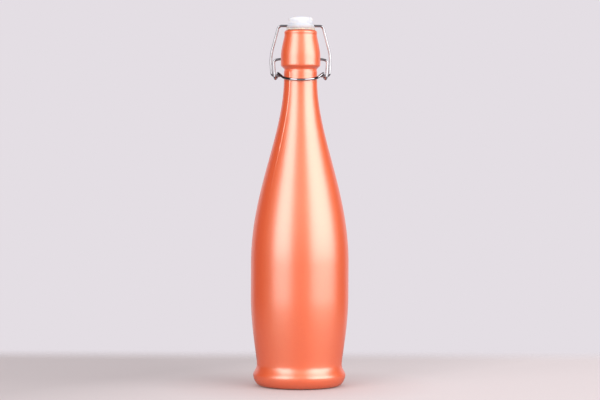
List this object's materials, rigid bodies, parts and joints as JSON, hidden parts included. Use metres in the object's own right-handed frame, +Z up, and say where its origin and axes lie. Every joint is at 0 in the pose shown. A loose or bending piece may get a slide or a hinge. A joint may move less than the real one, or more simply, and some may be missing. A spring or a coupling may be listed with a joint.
{
  "type": "swing top bottle",
  "caption": "Slender round glass bottle in a coral lacquer, with a sloped shoulder and swelling foot, shut by a white stopper on a hinged wire bail and lever.",
  "frame": {"origin": "centre of the ring that the bottle stands on, on the supporting surface", "axes": "+Z up along the bottle's axis, -Y towards the handle in front of the neck, X along the closure's hinge lines"},
  "size_m": [0.0826, 0.0826, 0.3118],
  "materials": {
    "lacquered_glass": "sprayed pearl lacquer over glass, satin gloss",
    "bright_wire": "bright nickel plated steel wire",
    "white_plastic": "moulded, low gloss",
    "seal_rubber": "moulded pale silicone"
  },
  "bodies": {
    "bottle": {"glass_bottle": "lacquered_glass"},
    "lever": {"lever_wire": "bright_wire"},
    "bail": {"bail_wire": "bright_wire"},
    "stopper": {"stopper_cap": "white_plastic", "seal_ring": "seal_rubber"}
  },
  "joints": [
    {"name": "lever_hinge", "type": "hinge", "parent": "bottle", "child": "lever", "pos_m": [0, 0, 0.2758], "axis": [-1, 0, 0], "range_deg": [0, 88]},
    {"name": "bail_hinge", "type": "hinge", "parent": "lever", "child": "bail", "pos_m": [0, 0.001, 0.2617], "axis": [-1, 0, 0], "range_deg": [-61, 0]},
    {"name": "stopper_hinge", "type": "hinge", "parent": "bail", "child": "stopper", "pos_m": [0, 0, 0.3038], "axis": [-1, 0, 0], "range_deg": [-27.5, 0]}
  ],
  "couplings": [
    {"joint": "bail_hinge", "follows": "lever_hinge", "ratio": -0.69},
    {"joint": "stopper_hinge", "follows": "lever_hinge", "ratio": -0.31}
  ]
}
